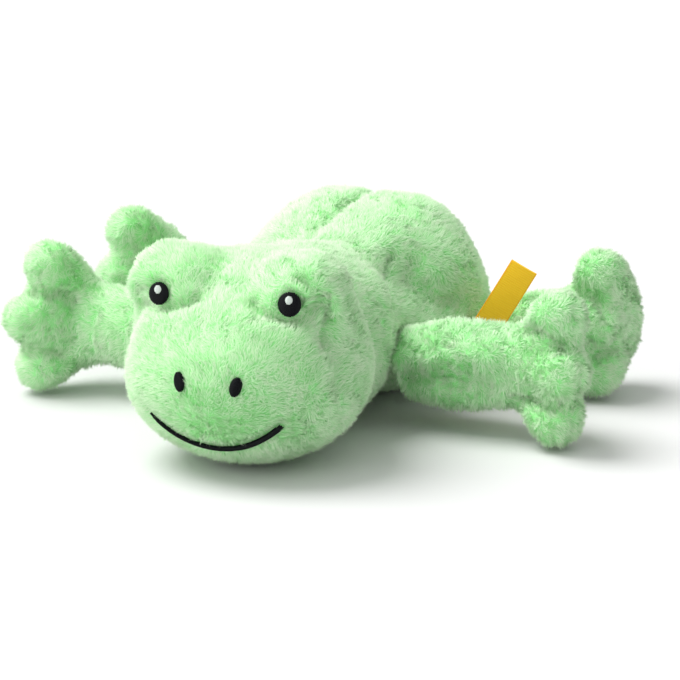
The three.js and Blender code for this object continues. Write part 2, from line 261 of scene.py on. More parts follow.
def stitched_piece(name, parts, finish):
    """One piece of closed parts, each given as its points and faces, riding on the head."""
    points, faces, start = [], [], 0
    for part_points, part_faces in parts:
        points.append(part_points)
        faces += [tuple(start + corner for corner in face) for face in part_faces]
        start += len(part_points)
    mesh = bpy.data.meshes.new(name)
    mesh.from_pydata(np.vstack(points).tolist(), [], faces)
    piece = bpy.data.objects.new(name, mesh)
    scene.collection.objects.link(piece)
    select_only(piece)
    bpy.ops.object.mode_set(mode="EDIT")
    bpy.ops.mesh.select_all(action="SELECT")
    bpy.ops.mesh.normals_make_consistent(inside=False)
    bpy.ops.object.mode_set(mode="OBJECT")
    for face in mesh.polygons:
        face.use_smooth = True
    mesh.materials.append(finish)
    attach(piece, "head")
    return piece


# Lustrous polyester thread, twisted from fine bright fibres. It has a soft satin gloss, and its
# colour differs a little from thread to thread. Black takes most of the gloss away.
black_finish, black_shader = new_finish(
    "lustrous_black_thread", Roughness=0.5, Specular_IOR_Level=0.12
)
dye_and_painted_shade(black_finish, black_shader, "040507", "0B0E13", THREAD_APART, 2)
grey_finish, grey_shader = new_finish(
    "lustrous_grey_thread", Roughness=0.38, Specular_IOR_Level=0.45
)
dye_and_painted_shade(grey_finish, grey_shader, "BFCAC3", "D3DCD5", THREAD_APART, 2)


def satin_patch(name, node, finish, rise, size=1, lift=0, on=None):
    """A patch of threads side by side over an oval pad, in place of its CAD node, and laid on
    another patch's stitches where one is given."""
    places, middle, long, short, outward = ground_of(node)
    if on:
        long, short, outward = on["long"], on["short"], on["outward"]
        face = middle + outward * ((on["face"] - middle) @ outward + on["rise"] + lift)
    else:
        face = middle + outward * (np.max((places - middle) @ outward) + lift)
    half_long = np.ptp((places - middle) @ long) / 2 * size
    half_short = np.ptp((places - middle) @ short) / 2 * size
    pad_long, pad_short = PAD_SHARE * long * half_long, PAD_SHARE * short * half_short
    parts = [padding(face, pad_long, pad_short, outward, rise)]
    count = int(2 * half_long / THREAD_APART)
    for i in range(count):
        along = -1 + (2 * i + 1) / count
        oval = math.sqrt(1 - along * along)
        reach = half_short * oval
        strand = []
        for share in np.linspace(-1, 1, 9):
            arch = (1 - share * share) * oval * rise - THREAD_DIVE * abs(share) ** 6
            strand.append(face + outward * arch + long * half_long * along + short * reach * share)
        parts.append(tube(strand, THREAD_RADIUS))
    piece = stitched_piece(name, parts, finish)
    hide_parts(node)
    for share in (-0.6, -0.3, 0, 0.3, 0.6):
        middle = face + share * (half_long - half_short) * long
        kept_clear.append((middle, half_short + 0.1 * MM))
    return {"face": face, "long": long, "short": short, "outward": outward, "rise": rise}


kept_clear = []  # the points and radii that the pile leaves to the stitches
for side, size in (("left", 0.86), ("right", 0.8)):
    eye = satin_patch(
        "eye_%s_stitches" % side,
        "eye_" + side,
        black_finish,
        rise=0.6 * MM,
        size=size,
        lift=-0.5 * MM,
    )
    satin_patch(
        "glint_%s_stitches" % side,
        "eye_glint_" + side,
        grey_finish,
        rise=0.2 * MM,
        size=0.9,
        lift=0.2 * MM,
        on=eye,
    )
    satin_patch(
        "nostril_%s_stitches" % side,
        "nostril_" + side,
        black_finish,
        rise=0.5 * MM,
        size=0.92,
    )

# Mouth. It is a row of slanted stitches over a laid cord, which starts fine at the frog's right
# corner. Its line is the CAD solid's own, as a smooth curve.
MOUTH_STEPS = 40
MOUTH_WIDE = 2.2 * MM
MOUTH_FINE = 1.1 * MM
MOUTH_PROUD = 0.9 * MM
MOUTH_SLANT = 0.35
ENDS_HIDDEN = 2.6 * MM  # the pile lies over the last stitches
CURVE_DEGREE = 4
ahead = np.array((0, -1, 0))
mouth_places = np.unique(np.round(points_of(frame["nodes"]["mouth"]), 6), axis=0)
mouth_right = mouth_places[:, 0].min() + ENDS_HIDDEN
mouth_left = mouth_places[:, 0].max() - ENDS_HIDDEN
sideways = np.linspace(mouth_right, mouth_left, MOUTH_STEPS)
depth, height = [
    np.polyval(np.polyfit(mouth_places[:, 0], mouth_places[:, axis], CURVE_DEGREE), sideways)
    for axis in (1, 2)
]
mouth_line = np.stack([sideways, depth - MOUTH_PROUD, height], axis=1)
mouth_run = unit(np.gradient(mouth_line, axis=0))
mouth_width = MOUTH_FINE + (MOUTH_WIDE - MOUTH_FINE) * np.linspace(0, 1, len(mouth_line)) ** 0.7
from_end = np.minimum(np.arange(MOUTH_STEPS), np.arange(MOUTH_STEPS)[::-1])
mouth_width *= np.sqrt(np.clip((from_end + 0.3) / 2, 0, 1))
mouth_strands = [tube(mouth_line, 0.4 * mouth_width, 8)]
stitch_count = int(np.linalg.norm(np.diff(mouth_line, axis=0), axis=1).sum() / THREAD_APART)
for i in range(stitch_count):
    share = (i + 0.5) / stitch_count * (len(mouth_line) - 1)
    low = int(share)
    middle = mouth_line[low] + (share - low) * (mouth_line[low + 1] - mouth_line[low])
    across = np.cross(mouth_run[low], ahead) + MOUTH_SLANT * mouth_run[low]
    half = mouth_width[low] / 2
    arch = [
        middle + across * half * step + ahead * (0.5 * half + (0.1 - abs(step) ** 4) * MM)
        for step in np.linspace(-1, 1, 7)
    ]
    mouth_strands.append(tube(arch, THREAD_RADIUS))
    kept_clear.append((middle, half + 0.5 * MM))
mouth = stitched_piece("mouth_stitches", mouth_strands, black_finish)
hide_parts("mouth")


# Stuffed forms. Each is a plush cover sewn inside out, turned and filled with loose fibre, so it
# swells between its seams. A form starts as its CAD cover and filling in one skin.
PILE_DEPTH = 1.9 * MM  # from the tips of the laid pile down to the knit backing
SKIN_VOXEL = 2.6 * MM
SKIN_SMOOTHING = 5
SAME_POINT = 0.01 * MM
SEAM_REACH = 6 * MM  # how far from a seam between two forms the skin starts to draw in
SEAM_EASE = 1.5  # above 1, it draws in slowly at first
SWELL_STEPS = 20
SWELL_MOST = 1.6 * MM
PARTS_PER_STRETCH = 3  # of a path, each laid on the skin by itself
BELLY_HEIGHT = 0.5 * MM  # of the backing over the table, with the pile pressed flat below it
FROG_MIDDLE = ((3.5, -16.4, 0), (1, 0, 0))  # a point on the plane between its sides, and its normal
BODIES = ("head", "torso", "arm_left", "arm_right", "leg_left", "leg_right")


def apply_modifier(piece, kind, **settings):
    select_only(piece)
    modifier = piece.modifiers.new(kind.title(), kind)
    for name, value in settings.items():
        setattr(modifier, name, value)
    bpy.ops.object.modifier_apply(modifier=modifier.name)


def normals_of(piece):
    found = np.empty(len(piece.data.vertices) * 3)
    piece.data.vertex_normals.foreach_get("vector", found)
    return found.reshape(-1, 3)


def move_points(piece, places):
    piece.data.vertices.foreach_set("co", places.ravel())
    piece.data.update()


def stuffed(name, nodes):
    """One closed skin round some CAD nodes."""
    copies = []
    for node in nodes:
        copy = frame["nodes"][node].copy()
        copy.data = copy.data.copy()
        copy.parent = None
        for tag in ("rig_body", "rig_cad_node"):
            del copy[tag]
        scene.collection.objects.link(copy)
        copies.append(copy)
    bpy.ops.object.select_all(action="DESELECT")
    for copy in copies:
        copy.select_set(True)
    form = copies[0]
    bpy.context.view_layer.objects.active = form
    bpy.ops.object.join()
    form.name = form.data.name = name
    form.data.materials.clear()
    shape = bmesh.new()
    shape.from_mesh(form.data)
    bmesh.ops.remove_doubles(shape, verts=shape.verts, dist=SAME_POINT)
    shape.to_mesh(form.data)
    shape.free()
    apply_modifier(form, "REMESH", mode="VOXEL", voxel_size=SKIN_VOXEL)
    apply_modifier(form, "SMOOTH", iterations=SKIN_SMOOTHING, factor=0.5)
    return form


def swell(form):
    """Lets the filling press the cover out, by no more than SWELL_MOST."""
    start = points_of(form)
    select_only(form)
    bpy.ops.object.modifier_add(type="CLOTH")
    cloth = form.modifiers[-1]
    cloth.settings.quality = 5
    cloth.settings.mass = 0.15
    cloth.settings.tension_stiffness = 15
    cloth.settings.compression_stiffness = 15
    cloth.settings.bending_stiffness = 0.6
    cloth.settings.use_pressure = True
    cloth.settings.uniform_pressure_force = 4
    cloth.settings.effector_weights.gravity = 0
    cloth.collision_settings.use_collision = False
    scene.frame_start, scene.frame_end = 1, SWELL_STEPS
    for step in range(1, SWELL_STEPS + 1):
        scene.frame_set(step)
    ready = form.evaluated_get(bpy.context.evaluated_depsgraph_get())
    places = np.empty(len(ready.data.vertices) * 3)
    ready.data.vertices.foreach_get("co", places)
    moved = places.reshape(-1, 3) - start
    form.modifiers.remove(cloth)
    scene.frame_set(1)
    far = np.linalg.norm(moved, axis=1, keepdims=True)
    move_points(form, start + moved * np.minimum(1, SWELL_MOST / np.maximum(far, 1e-9)))


def raise_along(form, path, high, wide):
    """Raises a form along a path laid on it, or sinks it where high is below zero, all in mm."""
    places = points_of(form)
    corners = np.array(path) * MM
    steps = np.linspace(0, len(corners) - 1, PARTS_PER_STRETCH * (len(corners) - 1) + 1)
    near = np.full(len(places), np.inf)
    start = None
    for step in steps:
        share = min(int(step), len(corners) - 2)
        point = corners[share] + (step - share) * (corners[share + 1] - corners[share])
        end = places[np.argmin(np.linalg.norm(places - point, axis=1))]
        if start is not None:
            run = end - start
            along = np.clip((places - start) @ run / max(run @ run, 1e-12), 0, 1)
            aside = places - start - along[:, None] * run
            near = np.minimum(near, np.linalg.norm(aside, axis=1))
        start = end
    rise = high * MM * np.exp(-((near / (wide * MM)) ** 2))
    move_points(form, places + rise[:, None] * normals_of(form))


def mirrored(path, middle=FROG_MIDDLE):
    """A path on the other side of a middle plane, given as a point on it and its normal."""
    at, normal = np.array(middle[0]), np.array(middle[1])
    points = np.array(path)
    return points - 2 * ((points - at) @ normal)[:, None] * normal


def settle(form):
    """Keeps a form on the table, where its own weight flattens it."""
    places = points_of(form)
    places[:, 2] = np.maximum(places[:, 2], BELLY_HEIGHT)
    move_points(form, places)


def sewn(body, nodes, shaping):
    """Fills a form, draws its knit skin in by the pile's depth, and shapes it by (path, high, wide).
    Near a form that it is sewn to, the skin stays where it is, so that the pile closes the seam.
    """
    form = stuffed(body + "_plush", nodes)
    swell(form)
    depth = np.full(len(form.data.vertices), PILE_DEPTH)
    for other in BODIES:
        if "torso" in (body, other) and body != other:
            beside = frame["nodes"][other + "_cover"].data
            faces = BVHTree.FromPolygons(
                [vertex.co for vertex in beside.vertices], [face.vertices for face in beside.polygons]
            )
            for i, vertex in enumerate(form.data.vertices):
                point, _, _, away = faces.find_nearest(vertex.co, SEAM_REACH)
                if point:
                    depth[i] = min(depth[i], PILE_DEPTH * (away / SEAM_REACH) ** SEAM_EASE)
    move_points(form, points_of(form) - depth[:, None] * normals_of(form))
    apply_modifier(form, "SUBSURF", levels=1, render_levels=1)
    for path, high, wide in shaping:
        raise_along(form, path, high, wide)
    settle(form)
    return form


# Plush pile. It is knitted polyester with a cut pile, brushed so that it lies in soft swirls. The
# fibres stand in locks, drawn here wider than the real ones so that they show.
LOCKS_PER_SQUARE_METRE = 3.3e6
LOCK_LONG = 2.7 * MM
LOCK_WIDE = 0.47 * MM
LOCK_LEAN = math.radians(52)
MOST_LEAN = math.radians(70)
ROOT_DEPTH = 0.25 * MM  # below the knit backing
CUT_SHORT = 0.45  # what one cut leaves of a lock that would lie over a stitch
BROAD_SWIRL = 26 * MM  # how far apart the pile's swirls, tufts and clumps of locks are
TUFT = 8 * MM
LEAN_SWIRL = 6 * MM
CLUMP = 3.5 * MM
BROAD_TURN = 0.45  # how much each of them turns the locks, against the comb's 1
CLUMP_TURN = 0.15
TUFT_LEAN = 0.4  # and how much it tips them, in radians
CLUMP_LEAN = 0.05
STRAY = 0.4  # how much single locks differ from their neighbours
LEAN_STRAY = 0.12
LENGTH_STRAY = 0.16
WIDTH_STRAY = 0.15
DRIFT_WAVES = 14
MAP_MARGIN = 0.02
MAP_PIXELS = 1024
LOCK_CHART = np.array([[-0.8, -0.5], [0.8, -0.5], [0, 0.9], [0, 0.1]]) / MAP_PIXELS
PILE_TIP = "E7F5DB"
# The painted shade at the pile's foot and on its backing:
PILE_PAINTED_SHADE = "74E072"
PILE_DYE_SPOT = 7 * MM

# Cut polyester scatters light softly and shines a little where it is seen along its fibres. Light
# that reaches down among them comes back greener and darker, and that is painted shade in the colour:
# a deeper green towards the pile's foot and on its backing.
plush_finish, plush_shader = new_finish(
    "cut_polyester_pile",
    Roughness=0.8,
    Specular_IOR_Level=0.3,
    Sheen_Weight=0.15,
    Sheen_Roughness=0.45,
    Sheen_Tint=linear("D8FFC8"),
)
dye_and_painted_shade(plush_finish, plush_shader, PILE_PAINTED_SHADE, PILE_TIP, PILE_DYE_SPOT, 4, "painted_shade_height")


def drift(places, wavelength, seed):
    """A smooth random vector at each place, about 1 long, that changes over the wavelength."""
    draw = np.random.default_rng(seed)
    result = np.zeros_like(places)
    for _ in range(DRIFT_WAVES):
        way = draw.normal(size=3)
        way *= 2 * math.pi / (wavelength * draw.uniform(0.7, 1.5) * np.linalg.norm(way))
        result += np.sin(places @ way + draw.uniform(0, 2 * math.pi))[:, None] * draw.normal(size=3)
    return result / math.sqrt(DRIFT_WAVES / 2)


def bake_map(places, normals, low, span):
    """Where each place lies on a map of six views, on which the pile's colour, painted shade and all,
    can be baked.
    """
    axis = np.argmax(np.abs(normals), axis=1)
    facing = np.take_along_axis(normals, axis[:, None], axis=1)[:, 0] > 0
    rows = np.arange(len(places))
    level = (places - low) / span
    u = np.where(axis == 0, level[rows, 1], level[rows, 0])
    v = np.where(axis == 2, level[rows, 1], level[rows, 2])
    room = 1 - 2 * MAP_MARGIN
    return np.stack(
        [(axis + MAP_MARGIN + room * u) / 3, (facing + MAP_MARGIN + room * v) / 2], axis=1
    )


def pick_roots(form, draw):
    """Places spread evenly over a form's skin, one for each lock, and the skin's normals there."""
    skin = form.data
    skin.calc_loop_triangles()
    corners = np.empty(len(skin.loop_triangles) * 3, int)
    skin.loop_triangles.foreach_get("vertices", corners)
    corners = corners.reshape(-1, 3)
    triangles = points_of(form)[corners]
    edges = triangles[:, 1:] - triangles[:, :1]
    area = np.cumsum(np.linalg.norm(np.cross(edges[:, 0], edges[:, 1]), axis=1) / 2)
    count = int(area[-1] * LOCKS_PER_SQUARE_METRE)
    steps = (np.arange(count) + draw.random(count)) / count * area[-1]
    chosen = np.minimum(np.searchsorted(area, steps), len(area) - 1)
    spread, across = np.sqrt(draw.random(count)), draw.random(count)
    shares = np.stack([1 - spread, spread * (1 - across), spread * across], axis=1)
    roots = np.einsum("nc,ncx->nx", shares, triangles[chosen])
    normals = unit(np.einsum("nc,ncx->nx", shares, normals_of(form)[corners[chosen]]))
    return roots, normals


def lay_locks(roots, normals, comb, swirl, draw, kept_clear):
    """Which way each lock lies, how wide it is and where its tip is. A lock that would lie over a
    stitch is cut short."""
    one_each = (len(roots), 1)
    way = unit(comb(roots)) + BROAD_TURN * drift(roots, BROAD_SWIRL, 1)
    way = way + swirl * drift(roots, TUFT, 2)
    way += (CLUMP_TURN + swirl) * drift(roots, CLUMP, 4) + STRAY * draw.normal(size=way.shape)
    way -= np.sum(way * normals, axis=1, keepdims=True) * normals
    way = unit(way)
    lean = LOCK_LEAN + LEAN_STRAY * draw.normal(size=one_each)
    lean = lean + TUFT_LEAN * swirl * drift(roots, LEAN_SWIRL, 3)[:, :1]
    lean += (CLUMP_LEAN + TUFT_LEAN * swirl) * drift(roots, CLUMP, 5)[:, :1]
    lean = np.clip(lean, 0, MOST_LEAN)
    long = LOCK_LONG * (1 + LENGTH_STRAY * draw.normal(size=one_each))
    wide = LOCK_WIDE * (1 + WIDTH_STRAY * draw.normal(size=one_each))
    along = np.cos(lean) * normals + np.sin(lean) * way
    for point, radius in kept_clear:
        for share in (0.4, 0.7, 1):
            over = np.linalg.norm(roots + share * long * along - point, axis=1) < radius
            long[over] *= CUT_SHORT
    tips = roots + long * along
    # No tip goes into the table.
    tips[:, 2] = np.maximum(tips[:, 2], (0.1 + 0.2 * draw.random(len(roots))) * MM)
    return way, wide, tips


def lock_shapes(roots, normals, way, wide, tips):
    """The four points of each lock, and the normals of its twelve face corners. The normals are
    rounder than its flat sides, so that it shades as a tuft of fibres."""
    side = np.cross(normals, way)
    base = roots - ROOT_DEPTH * normals
    points = np.stack(
        [base + wide * side / 2, base - wide * side / 2, base - 0.35 * wide * way, tips], axis=1
    )
    along = unit(tips - roots)
    rise = np.sum(normals * along, axis=1, keepdims=True)
    above = unit(normals - rise * along)
    crown = unit(normals - 0.6 * rise * along)
    left, right = unit(crown + 0.3 * side), unit(crown - 0.3 * side)
    tip = unit(crown + 0.2 * along)
    under = unit(0.5 * normals + 0.8 * along - 0.6 * above)
    shading = [crown, crown, crown, under, under, under, right, tip, crown, crown, tip, left]
    return points, np.stack(shading, axis=1)


def plant_pile(form, comb, seed, swirl, kept_clear=()):
    """Plants closed three-sided locks of fibre all over a form, leaning the way comb says, and
    none on the stitches, given as (point, radius)."""
    draw = np.random.default_rng(seed)
    skin = form.data
    skin_places, skin_normals = points_of(form), normals_of(form)
    roots, normals = pick_roots(form, draw)
    bare = np.zeros(len(roots), bool)
    for point, radius in kept_clear:
        bare |= np.linalg.norm(roots - point, axis=1) < radius
    roots, normals = roots[~bare], normals[~bare]
    count = len(roots)
    way, wide, tips = lay_locks(roots, normals, comb, swirl, draw, kept_clear)
    lock_points, lock_normals = lock_shapes(roots, normals, way, wide, tips)
    first = len(skin_places) + 4 * np.arange(count)[:, None, None]
    lock_faces = (first + np.array([[0, 1, 2], [0, 3, 1], [1, 3, 2], [2, 3, 0]])).reshape(-1, 3)
    skin_corners = np.empty(len(skin.loops), int)
    skin.loops.foreach_get("vertex_index", skin_corners)
    skin_sizes = np.empty(len(skin.polygons), int)
    skin.polygons.foreach_get("loop_total", skin_sizes)
    every_corner = np.concatenate([skin_corners, lock_faces.ravel()])
    sizes = np.concatenate([skin_sizes, np.full(len(lock_faces), 3)])
    piled = bpy.data.meshes.new(form.name)
    piled.vertices.add(len(skin_places) + 4 * count)
    piled.vertices.foreach_set("co", np.vstack([skin_places, lock_points.reshape(-1, 3)]).ravel())
    piled.loops.add(len(every_corner))
    piled.loops.foreach_set("vertex_index", every_corner)
    piled.polygons.add(len(sizes))
    piled.polygons.foreach_set("loop_start", np.concatenate([[0], np.cumsum(sizes)[:-1]]))
    piled.polygons.foreach_set("use_smooth", np.ones(len(sizes), bool))
    piled.update(calc_edges=True)
    low, span = skin_places.min(axis=0), np.ptp(skin_places, axis=0).max()
    face_of_corner = np.repeat(np.arange(len(skin_sizes)), skin_sizes)
    sums = [
        np.bincount(face_of_corner, skin_normals[skin_corners, axis], len(skin_sizes))
        for axis in range(3)
    ]
    face_normals = unit(np.stack(sums, axis=1))
    skin_map = bake_map(skin_places[skin_corners], face_normals[face_of_corner], low, span)
    lock_map = bake_map(roots, normals, low, span)[:, None, :] + LOCK_CHART
    lock_map = lock_map.reshape(-1, 2)[lock_faces.ravel() - len(skin_places)]
    chart = piled.uv_layers.new(name="OFBake")
    chart.uv.foreach_set("vector", np.vstack([skin_map, lock_map]).ravel())
    every_normal = np.vstack([skin_normals[skin_corners], lock_normals.reshape(-1, 3)])
    piled.normals_split_custom_set(every_normal)
    # Heights for the painted shade: 0 on the backing and at the locks' roots, 1 at their tips.
    painted_shade_heights = np.concatenate([np.zeros(len(skin_places)), np.tile([0, 0, 0, 1], count)])
    piled.attributes.new("painted_shade_height", "FLOAT", "POINT").data.foreach_set("value", painted_shade_heights)
    form.data = piled
    form.data.materials.append(plush_finish)


def cover(body, nodes, shaping, comb, seed, swirl, kept_clear=()):
    """A finished stuffed form, tied to its body."""
    form = sewn(body, nodes, shaping)
    plant_pile(form, comb, seed, swirl, kept_clear)
    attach(form, body)
    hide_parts(body + "_cover", body + "_filling")


# Head. Muzzle, crown and brows are panels of one cover. Folds run under the eyes, where the brows
# are sewn on, and a seam runs up the middle of the muzzle. Its pile spreads from the nose's foot.
# Here and below, the paths of folds and seams, and how high and wide they are, are in millimetres.
HEAD_MIDDLE = ((3.5, -16.4, 0), (0.99863, 0.05234, 0))
NOSE_FOOT = np.array([0.008, -0.1, 0.012])
HEAD_LAID_BACK = np.array([0, 0.3, 0])
under_eye = [
    (18.0, -87.8, 71.9),
    (21.8, -89.6, 69.2),
    (26.7, -90.3, 67.8),
    (37.9, -88.2, 67.3),
    (46.3, -83.6, 65.1),
    (49.2, -79.7, 61.3),
    (51.3, -76.5, 56.0),
]
cheek_valley = [(46.3, -83.6, 65.1), (51.3, -76.5, 57.0), (53.6, -74.0, 48.0), (55.2, -75.7, 37.0)]
over_eye = [
    (34.6, -84.6, 82.3),
    (37.5, -84.4, 80.9),
    (41.3, -84.7, 78.2),
    (44.7, -83.8, 74.8),
    (47.5, -81.5, 71.4),
]
eye_corner = [(37.4, -87.1, 72.1), (41.0, -86.8, 70.8), (44.7, -84.7, 69.5), (48.0, -81.7, 67.9)]
brow_side = [(41.0, -79.0, 83.0), (46.0, -80.0, 77.0), (50.0, -78.0, 70.0)]
brow_edge = [(12.6, -63.9, 85.3), (13.0, -72.5, 83.2), (13.4, -79.2, 79.5), (14.8, -84.2, 75.6)]
muzzle_shelf = [(22.0, -94.0, 62.0), (32.0, -94.0, 60.0), (41.0, -90.0, 57.0)]
cheek_side = [(60.0, -60.0, 52.0), (60.0, -62.0, 38.0)]
muzzle_seam = [
    (3.0, -62.0, 88.0),
    (1.0, -80.0, 80.0),
    (-0.1, -89.7, 70.6),
    (4.3, -104.2, 54.6),
    (8.0, -108.0, 46.0),
]
head_shaping = [
    (muzzle_shelf, 1.8, 7.0),
    (mirrored(muzzle_shelf, HEAD_MIDDLE), 1.5, 7.0),
    (cheek_side, -4.5, 17.0),
    (mirrored(cheek_side, HEAD_MIDDLE), -1.5, 17.0),
    (brow_side, 1.6, 3.5),
    (mirrored(brow_side, HEAD_MIDDLE), 1.2, 3.5),
    (brow_edge, -1.6, 5.0),
    (mirrored(brow_edge, HEAD_MIDDLE), -1.6, 5.0),
    (cheek_valley, -4.4, 6.0),
    (mirrored(cheek_valley, HEAD_MIDDLE), -2.6, 6.0),
    (under_eye, -4.8, 2.6),
    (mirrored(under_eye, HEAD_MIDDLE), -4.0, 2.6),
    (eye_corner, -4.0, 2.4),
    (mirrored(eye_corner, HEAD_MIDDLE), -2.4, 2.4),
    (over_eye, -3.0, 2.0),
    (muzzle_seam, -0.6, 1.5),
    (mouth_line / MM, -1.0, 2.4),
]


def head_comb(roots):
    return unit(roots - NOSE_FOOT) + HEAD_LAID_BACK


head_nodes = [
    "head_cover",
    "head_filling",
    "mouth",
    "eye_left",
    "eye_right",
    "nostril_left",
    "nostril_right",
]
cover(
    "head",
    head_nodes,
    head_shaping,
    head_comb,
    seed=101,
    swirl=0.25,
    kept_clear=kept_clear,
)

# Torso. Two halves meet in a seam down the middle of the back, between the lobes of the rump. The
# flanks draw in behind the shoulders.
back_seam = [
    (-6.0, 18.0, 68.0),
    (-3.5, 35.7, 74.1),
    (-1.3, 42.5, 76.8),
    (0.5, 51.4, 79.9),
    (2.4, 61.4, 82.5),
]
rump_seam = [(2.4, 61.4, 82.5), (3.5, 78, 83), (3.5, 95, 72), (3.5, 108, 45), (3.5, 106, 20)]
flank = [(43.0, 31.0, 59.0), (51.0, 34.0, 51.0), (56.0, 40.0, 46.0)]
shoulder = [(34.0, 2.0, 58.0), (42.0, -6.0, 44.0)]
shoulder_fold = [(33.0, 31.0, 66.0), (37.8, 17.6, 56.1), (42.7, 4.9, 48.3), (46.3, -1.5, 40.8)]
torso_shaping = [
    (back_seam, -1.8, 2.6),
    (rump_seam, -2.4, 3.2),
    (flank, -10.5, 13.0),
    (mirrored(flank), -7.0, 13.0),
    (shoulder, 3.0, 9.0),
    (mirrored(shoulder), 2.0, 9.0),
    (shoulder_fold, -3.4, 2.4),
]


def torso_comb(roots):
    return np.tile([0.0, 1.0, -0.5], (len(roots), 1))


cover(
    "torso", ["torso_cover", "torso_filling"], torso_shaping, torso_comb, seed=102, swirl=0.3
)


# Limbs. All four are one pattern: a sleeve of two panels, seamed along its front and back, and a
# palm with three toes that are drawn in where they meet.
def limb_comb(roots):
    way = np.zeros_like(roots)
    way[:, 0] = np.sign(roots[:, 0])
    way[:, 2] = -0.3
    return way


left_arm = [
    ([(45.3, -2.5, 31.3), (56.8, -5.1, 32.7), (72.2, -5.8, 34.9), (88.3, -4.3, 36.6)], 1.8, 4.2),
    ([(47.7, -3.8, 22.1), (61.7, -6.2, 22.1), (74.5, -5.9, 22.2), (87.0, -4.9, 22.4)], -2.4, 5.5),
    ([(91.4, 3.2, 45.9), (90.8, -2.0, 40.9), (91.2, -5.1, 33.4), (93.4, -4.8, 25.2)], -1.3, 3.0),
    ([(97.0, 1.7, 46.9), (107.7, -12.5, 48.3), (115.5, -14.3, 46.6), (121.3, -11.5, 45.3)], -4.5, 2.8),
    ([(95.4, -1.6, 17.9), (106.0, -8.8, 20.3), (115.6, -12.4, 19.0), (122.0, -13.0, 20.0)], -4.8, 2.8),
    ([(124.0, -10.7, 62.2), (130.5, -15.6, 32.7), (124.9, -8.5, 18.6), (123.7, -8.2, 5.6)], -1.0, 1.6),
]
right_arm = [
    ([(-116.9, -10.1, 45.8), (-110.2, -8.5, 43.9), (-101.3, -2.7, 42.6)], -3.6, 2.8),
    ([(-117.0, -13.5, 20.6), (-111.6, -14.2, 20.5), (-103.8, -8.1, 19.4)], -3.2, 3.0),
    ([(-102.5, -3.2, 41.2), (-100.4, -4.9, 34.0), (-101.2, -4.7, 19.7)], -1.3, 3.0),
]
left_leg = [
    ([(104.8, 69.1, 45.7), (110.9, 68.0, 43.5), (115.1, 64.7, 39.0)], -4.0, 2.8),
    ([(106.6, 62.5, 24.0), (110.4, 67.5, 21.4), (114.0, 72.6, 22.3), (117.4, 72.7, 25.6)], -4.0, 2.8),
]
LIMB_SEED = 110
limbs = [("arm_left", left_arm), ("arm_right", right_arm), ("leg_left", left_leg), ("leg_right", [])]
for number, (limb, shaping) in enumerate(limbs):
    nodes = [limb + "_cover", limb + "_filling"]
    cover(limb, nodes, shaping, limb_comb, seed=LIMB_SEED + number, swirl=0.5)


# Side label. It is a bare length of woven polyester ribbon, folded in two with both ends caught in
# the flank's seam. It is close woven, with ribs across it and a firm selvedge on each edge.
RIBBON_THICK = 0.32 * MM
LAYERS_APART = 0.5 * MM
RIB_APART = 0.9 * MM  # the real ribs are 0.3 mm apart, too fine to show
BAND_LONG = 0.314  # one band of the wave texture, at scale 1
YARNS_ACROSS = 60
SELVEDGE_WIDE = 0.9 * MM
FOLD_SHARE = 0.03  # of the ribbon's length, which turns over at its outer end
MOST_BOW = 0.5 * MM
MOST_CURL = 0.7 * MM
EDGE_ROUNDING = 0.1 * MM
RIB_RELIEF = 0.06 * MM

label_places = np.unique(np.round(points_of(frame["nodes"]["flank_label"]), 6), axis=0)
label_middle = (label_places.min(axis=0) + label_places.max(axis=0)) / 2
label_ways = np.linalg.svd(label_places - label_places.mean(axis=0), full_matrices=False)[2]
upward, sideways, through = [
    way * np.sign(way[2] if abs(way[2]) > 0.1 else way[0]) for way in label_ways
]
label_long = np.ptp(label_places @ upward)
label_wide = np.ptp(label_places @ sideways)
bpy.ops.object.select_all(action="DESELECT")
bpy.ops.mesh.primitive_grid_add(x_subdivisions=20, y_subdivisions=160, size=2)
label = bpy.context.object
label.name = label.data.name = "side_label"
flat = points_of(label)
across, travel = flat[:, 0], flat[:, 1]
straight = np.clip((1 - np.abs(travel)) / (1 - FOLD_SHARE), 0, 1)
around = np.clip((FOLD_SHARE - np.abs(travel)) / FOLD_SHARE, 0, 1) * math.pi / 2
height = straight * (label_long - LAYERS_APART) + LAYERS_APART * np.sin(around)
layer = np.sign(travel) * LAYERS_APART * np.cos(around)
bow = MOST_BOW * (1 - across**2) * straight + MOST_CURL * np.sin(2.6 * straight)
move_points(
    label,
    label_middle
    + np.outer(height - label_long / 2, upward)
    + np.outer(across * (label_wide - RIBBON_THICK) / 2, sideways)
    + np.outer(layer + bow - MOST_BOW, through),
)
apply_modifier(label, "SOLIDIFY", thickness=RIBBON_THICK, offset=0)
apply_modifier(label, "BEVEL", width=EDGE_ROUNDING, segments=2, limit_method="ANGLE")
bpy.ops.object.shade_smooth_by_angle(angle=math.radians(40))

# Woven polyester ribbon: nearly matt, with a faint sheen on its ribs and a deeper colour along its
# selvedges. Its colour is painted lighter on the ribs and darker between them, a painted sheen and
# painted shade, with a random yarn tone over both.
ribbon_finish, ribbon_shader = new_finish(
    "woven_polyester_ribbon",
    Roughness=0.72,
    Specular_IOR_Level=0.3,
    Sheen_Weight=0.15,
    Sheen_Roughness=0.4,
)
chart = add_node(ribbon_finish, "ShaderNodeUVMap", uv_map="UVMap")
ribs = add_node(
    ribbon_finish,
    "ShaderNodeTexWave",
    links=[("Vector", chart, "UV")],
    bands_direction="Y",
    Scale=BAND_LONG * 2 * label_long / RIB_APART,
    Distortion=0.25,
)
parts = add_node(ribbon_finish, "ShaderNodeSeparateXYZ", links=[("Vector", chart, "UV")])
edge = add_node(ribbon_finish, "ShaderNodeMath", links=[(0, parts, "X")], operation="PINGPONG")
edge.inputs[1].default_value = 0.5
